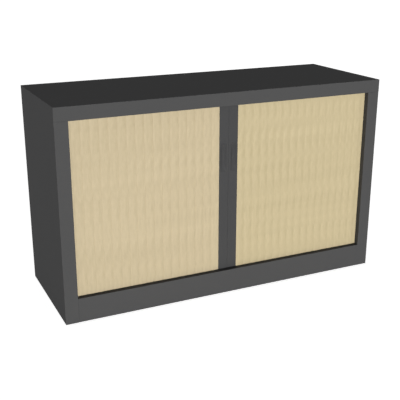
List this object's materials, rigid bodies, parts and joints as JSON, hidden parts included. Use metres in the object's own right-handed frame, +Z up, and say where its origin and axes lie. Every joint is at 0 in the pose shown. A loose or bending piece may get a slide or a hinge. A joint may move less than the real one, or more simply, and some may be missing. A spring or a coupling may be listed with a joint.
{
  "type": "tambour door cabinet",
  "caption": "Low steel office cabinet with two side-opening tambour doors of vertical slats, recessed finger grips, an inner shelf and a plain plinth.",
  "frame": {"origin": "middle of the footprint, on the floor", "axes": "+X to the right as seen from the front, +Y from the front to the back, +Z up"},
  "size_m": [1.2, 0.43, 0.72],
  "materials": {
    "carcass_paint": "satin fine-textured powder coat, anthracite grey",
    "slat_decor": "rounded plastic slat with a pale maple decor foil, satin",
    "lead_rail_finish": "satin anthracite grey",
    "grip_plastic": "matt anthracite plastic",
    "guide_nylon": "black nylon",
    "track_plastic": "black plastic extrusion",
    "clip_steel": "bright zinc plate",
    "screw_steel": "zinc plate",
    "foot_steel": "zinc plate"
  },
  "bodies": {
    "carcass": {"top_panel": "carcass_paint", "sub_top_tray": "carcass_paint", "base_tray": "carcass_paint", "plinth_rail": "carcass_paint", "back_panel": "carcass_paint", "left_side_panel": "carcass_paint", "right_side_panel": "carcass_paint", "left_curtain_liner": "carcass_paint", "right_curtain_liner": "carcass_paint", "sill_strip": "track_plastic", "door_tracks": "track_plastic", "track_screws": "screw_steel", "shelf": "carcass_paint", "shelf_clips": "clip_steel"},
    "left_lead": {"left_lead_rail": "lead_rail_finish", "left_grip_cup": "grip_plastic", "left_rail_guides": "guide_nylon"},
    "left_slat_01": {"left_slat_01": "slat_decor"},
    "left_slat_02": {"left_slat_02": "slat_decor"},
    "left_slat_03": {"left_slat_03": "slat_decor"},
    "left_slat_04": {"left_slat_04": "slat_decor"},
    "left_slat_05": {"left_slat_05": "slat_decor"},
    "left_slat_06": {"left_slat_06": "slat_decor"},
    "left_slat_07": {"left_slat_07": "slat_decor"},
    "left_slat_08": {"left_slat_08": "slat_decor"},
    "left_slat_09": {"left_slat_09": "slat_decor"},
    "left_slat_10": {"left_slat_10": "slat_decor"},
    "left_slat_11": {"left_slat_11": "slat_decor"},
    "left_slat_12": {"left_slat_12": "slat_decor"},
    "left_slat_13": {"left_slat_13": "slat_decor"},
    "left_slat_14": {"left_slat_14": "slat_decor"},
    "left_slat_15": {"left_slat_15": "slat_decor"},
    "left_slat_16": {"left_slat_16": "slat_decor"},
    "left_slat_17": {"left_slat_17": "slat_decor"},
    "left_slat_18": {"left_slat_18": "slat_decor"},
    "right_lead": {"right_lead_rail": "lead_rail_finish", "right_grip_cup": "grip_plastic", "right_rail_guides": "guide_nylon"},
    "right_slat_01": {"right_slat_01": "slat_decor"},
    "right_slat_02": {"right_slat_02": "slat_decor"},
    "right_slat_03": {"right_slat_03": "slat_decor"},
    "right_slat_04": {"right_slat_04": "slat_decor"},
    "right_slat_05": {"right_slat_05": "slat_decor"},
    "right_slat_06": {"right_slat_06": "slat_decor"},
    "right_slat_07": {"right_slat_07": "slat_decor"},
    "right_slat_08": {"right_slat_08": "slat_decor"},
    "right_slat_09": {"right_slat_09": "slat_decor"},
    "right_slat_10": {"right_slat_10": "slat_decor"},
    "right_slat_11": {"right_slat_11": "slat_decor"},
    "right_slat_12": {"right_slat_12": "slat_decor"},
    "right_slat_13": {"right_slat_13": "slat_decor"},
    "right_slat_14": {"right_slat_14": "slat_decor"},
    "right_slat_15": {"right_slat_15": "slat_decor"},
    "right_slat_16": {"right_slat_16": "slat_decor"},
    "right_slat_17": {"right_slat_17": "slat_decor"},
    "right_slat_18": {"right_slat_18": "slat_decor"},
    "front_left_foot": {"front_left_foot": "foot_steel"},
    "front_right_foot": {"front_right_foot": "foot_steel"},
    "rear_left_foot": {"rear_left_foot": "foot_steel"},
    "rear_right_foot": {"rear_right_foot": "foot_steel"}
  },
  "joints": [
    {"name": "left_door_slide", "type": "slide", "parent": "carcass", "child": "left_lead", "axis": [-1, 0, 0], "range_m": [0, 0.5215]},
    {"name": "left_slat_01_slide", "type": "slide", "parent": "carcass", "child": "left_slat_01", "axis": [-1, 0, 0], "range_m": [0, 0.5215]},
    {"name": "left_slat_02_slide", "type": "slide", "parent": "carcass", "child": "left_slat_02", "axis": [-1, 0.0059, 0], "range_m": [0, 0.49213]},
    {"name": "left_slat_03_slide", "type": "slide", "parent": "carcass", "child": "left_slat_03", "axis": [-0.9999, 0.0125, 0], "range_m": [0, 0.46277]},
    {"name": "left_slat_04_slide", "type": "slide", "parent": "carcass", "child": "left_slat_04", "axis": [-0.9998, 0.0201, 0], "range_m": [0, 0.43344]},
    {"name": "left_slat_05_slide", "type": "slide", "parent": "carcass", "child": "left_slat_05", "axis": [-0.9996, 0.0287, 0], "range_m": [0, 0.40414]},
    {"name": "left_slat_06_slide", "type": "slide", "parent": "carcass", "child": "left_slat_06", "axis": [-0.9993, 0.0387, 0], "range_m": [0, 0.37487]},
    {"name": "left_slat_07_slide", "type": "slide", "parent": "carcass", "child": "left_slat_07", "axis": [-0.9987, 0.0503, 0], "range_m": [0, 0.34564]},
    {"name": "left_slat_08_slide", "type": "slide", "parent": "carcass", "child": "left_slat_08", "axis": [-0.9979, 0.0641, 0], "range_m": [0, 0.31648]},
    {"name": "left_slat_09_slide", "type": "slide", "parent": "carcass", "child": "left_slat_09", "axis": [-0.9967, 0.0807, 0], "range_m": [0, 0.28738]},
    {"name": "left_slat_10_slide", "type": "slide", "parent": "carcass", "child": "left_slat_10", "axis": [-0.9949, 0.101, 0], "range_m": [0, 0.25838]},
    {"name": "left_slat_11_slide", "type": "slide", "parent": "carcass", "child": "left_slat_11", "axis": [-0.992, 0.1264, 0], "range_m": [0, 0.22952]},
    {"name": "left_slat_12_slide", "type": "slide", "parent": "carcass", "child": "left_slat_12", "axis": [-0.9873, 0.1588, 0], "range_m": [0, 0.20084]},
    {"name": "left_slat_13_slide", "type": "slide", "parent": "carcass", "child": "left_slat_13", "axis": [-0.9794, 0.2018, 0], "range_m": [0, 0.17246]},
    {"name": "left_slat_14_slide", "type": "slide", "parent": "carcass", "child": "left_slat_14", "axis": [-0.9654, 0.2608, 0], "range_m": [0, 0.14453]},
    {"name": "left_slat_15_slide", "type": "slide", "parent": "carcass", "child": "left_slat_15", "axis": [-0.9383, 0.3459, 0], "range_m": [0, 0.11739]},
    {"name": "left_slat_16_slide", "type": "slide", "parent": "carcass", "child": "left_slat_16", "axis": [-0.8804, 0.4742, 0], "range_m": [0, 0.09173]},
    {"name": "left_slat_17_slide", "type": "slide", "parent": "carcass", "child": "left_slat_17", "axis": [-0.7422, 0.6702, 0], "range_m": [0, 0.06923]},
    {"name": "left_slat_18_slide", "type": "slide", "parent": "carcass", "child": "left_slat_18", "axis": [-0.4075, 0.9132, 0], "range_m": [0, 0.05399]},
    {"name": "right_door_slide", "type": "slide", "parent": "carcass", "child": "right_lead", "axis": [1, 0, 0], "range_m": [0, 0.5215]},
    {"name": "right_slat_01_slide", "type": "slide", "parent": "carcass", "child": "right_slat_01", "axis": [1, 0, 0], "range_m": [0, 0.5215]},
    {"name": "right_slat_02_slide", "type": "slide", "parent": "carcass", "child": "right_slat_02", "axis": [1, 0.0059, 0], "range_m": [0, 0.49213]},
    {"name": "right_slat_03_slide", "type": "slide", "parent": "carcass", "child": "right_slat_03", "axis": [0.9999, 0.0125, 0], "range_m": [0, 0.46277]},
    {"name": "right_slat_04_slide", "type": "slide", "parent": "carcass", "child": "right_slat_04", "axis": [0.9998, 0.0201, 0], "range_m": [0, 0.43344]},
    {"name": "right_slat_05_slide", "type": "slide", "parent": "carcass", "child": "right_slat_05", "axis": [0.9996, 0.0287, 0], "range_m": [0, 0.40414]},
    {"name": "right_slat_06_slide", "type": "slide", "parent": "carcass", "child": "right_slat_06", "axis": [0.9993, 0.0387, 0], "range_m": [0, 0.37487]},
    {"name": "right_slat_07_slide", "type": "slide", "parent": "carcass", "child": "right_slat_07", "axis": [0.9987, 0.0503, 0], "range_m": [0, 0.34564]},
    {"name": "right_slat_08_slide", "type": "slide", "parent": "carcass", "child": "right_slat_08", "axis": [0.9979, 0.0641, 0], "range_m": [0, 0.31648]},
    {"name": "right_slat_09_slide", "type": "slide", "parent": "carcass", "child": "right_slat_09", "axis": [0.9967, 0.0807, 0], "range_m": [0, 0.28738]},
    {"name": "right_slat_10_slide", "type": "slide", "parent": "carcass", "child": "right_slat_10", "axis": [0.9949, 0.101, 0], "range_m": [0, 0.25838]},
    {"name": "right_slat_11_slide", "type": "slide", "parent": "carcass", "child": "right_slat_11", "axis": [0.992, 0.1264, 0], "range_m": [0, 0.22952]},
    {"name": "right_slat_12_slide", "type": "slide", "parent": "carcass", "child": "right_slat_12", "axis": [0.9873, 0.1588, 0], "range_m": [0, 0.20084]},
    {"name": "right_slat_13_slide", "type": "slide", "parent": "carcass", "child": "right_slat_13", "axis": [0.9794, 0.2018, 0], "range_m": [0, 0.17246]},
    {"name": "right_slat_14_slide", "type": "slide", "parent": "carcass", "child": "right_slat_14", "axis": [0.9654, 0.2608, 0], "range_m": [0, 0.14453]},
    {"name": "right_slat_15_slide", "type": "slide", "parent": "carcass", "child": "right_slat_15", "axis": [0.9383, 0.3459, 0], "range_m": [0, 0.11739]},
    {"name": "right_slat_16_slide", "type": "slide", "parent": "carcass", "child": "right_slat_16", "axis": [0.8804, 0.4742, 0], "range_m": [0, 0.09173]},
    {"name": "right_slat_17_slide", "type": "slide", "parent": "carcass", "child": "right_slat_17", "axis": [0.7422, 0.6702, 0], "range_m": [0, 0.06923]},
    {"name": "right_slat_18_slide", "type": "slide", "parent": "carcass", "child": "right_slat_18", "axis": [0.4075, 0.9132, 0], "range_m": [0, 0.05399]},
    {"name": "front_left_foot_height", "type": "slide", "parent": "carcass", "child": "front_left_foot", "axis": [0, 0, -1], "range_m": [0, 0.01]},
    {"name": "front_right_foot_height", "type": "slide", "parent": "carcass", "child": "front_right_foot", "axis": [0, 0, -1], "range_m": [0, 0.01]},
    {"name": "rear_left_foot_height", "type": "slide", "parent": "carcass", "child": "rear_left_foot", "axis": [0, 0, -1], "range_m": [0, 0.01]},
    {"name": "rear_right_foot_height", "type": "slide", "parent": "carcass", "child": "rear_right_foot", "axis": [0, 0, -1], "range_m": [0, 0.01]}
  ],
  "couplings": [
    {"joint": "left_slat_01_slide", "follows": "left_door_slide", "ratio": 1},
    {"joint": "left_slat_02_slide", "follows": "left_door_slide", "ratio": 0.94367},
    {"joint": "left_slat_03_slide", "follows": "left_door_slide", "ratio": 0.88739},
    {"joint": "left_slat_04_slide", "follows": "left_door_slide", "ratio": 0.83114},
    {"joint": "left_slat_05_slide", "follows": "left_door_slide", "ratio": 0.77495},
    {"joint": "left_slat_06_slide", "follows": "left_door_slide", "ratio": 0.71883},
    {"joint": "left_slat_07_slide", "follows": "left_door_slide", "ratio": 0.66279},
    {"joint": "left_slat_08_slide", "follows": "left_door_slide", "ratio": 0.60686},
    {"joint": "left_slat_09_slide", "follows": "left_door_slide", "ratio": 0.55106},
    {"joint": "left_slat_10_slide", "follows": "left_door_slide", "ratio": 0.49546},
    {"joint": "left_slat_11_slide", "follows": "left_door_slide", "ratio": 0.44011},
    {"joint": "left_slat_12_slide", "follows": "left_door_slide", "ratio": 0.38513},
    {"joint": "left_slat_13_slide", "follows": "left_door_slide", "ratio": 0.3307},
    {"joint": "left_slat_14_slide", "follows": "left_door_slide", "ratio": 0.27715},
    {"joint": "left_slat_15_slide", "follows": "left_door_slide", "ratio": 0.2251},
    {"joint": "left_slat_16_slide", "follows": "left_door_slide", "ratio": 0.1759},
    {"joint": "left_slat_17_slide", "follows": "left_door_slide", "ratio": 0.13276},
    {"joint": "left_slat_18_slide", "follows": "left_door_slide", "ratio": 0.10352},
    {"joint": "right_slat_01_slide", "follows": "right_door_slide", "ratio": 1},
    {"joint": "right_slat_02_slide", "follows": "right_door_slide", "ratio": 0.94367},
    {"joint": "right_slat_03_slide", "follows": "right_door_slide", "ratio": 0.88739},
    {"joint": "right_slat_04_slide", "follows": "right_door_slide", "ratio": 0.83114},
    {"joint": "right_slat_05_slide", "follows": "right_door_slide", "ratio": 0.77495},
    {"joint": "right_slat_06_slide", "follows": "right_door_slide", "ratio": 0.71883},
    {"joint": "right_slat_07_slide", "follows": "right_door_slide", "ratio": 0.66279},
    {"joint": "right_slat_08_slide", "follows": "right_door_slide", "ratio": 0.60686},
    {"joint": "right_slat_09_slide", "follows": "right_door_slide", "ratio": 0.55106},
    {"joint": "right_slat_10_slide", "follows": "right_door_slide", "ratio": 0.49546},
    {"joint": "right_slat_11_slide", "follows": "right_door_slide", "ratio": 0.44011},
    {"joint": "right_slat_12_slide", "follows": "right_door_slide", "ratio": 0.38513},
    {"joint": "right_slat_13_slide", "follows": "right_door_slide", "ratio": 0.3307},
    {"joint": "right_slat_14_slide", "follows": "right_door_slide", "ratio": 0.27715},
    {"joint": "right_slat_15_slide", "follows": "right_door_slide", "ratio": 0.2251},
    {"joint": "right_slat_16_slide", "follows": "right_door_slide", "ratio": 0.1759},
    {"joint": "right_slat_17_slide", "follows": "right_door_slide", "ratio": 0.13276},
    {"joint": "right_slat_18_slide", "follows": "right_door_slide", "ratio": 0.10352}
  ]
}
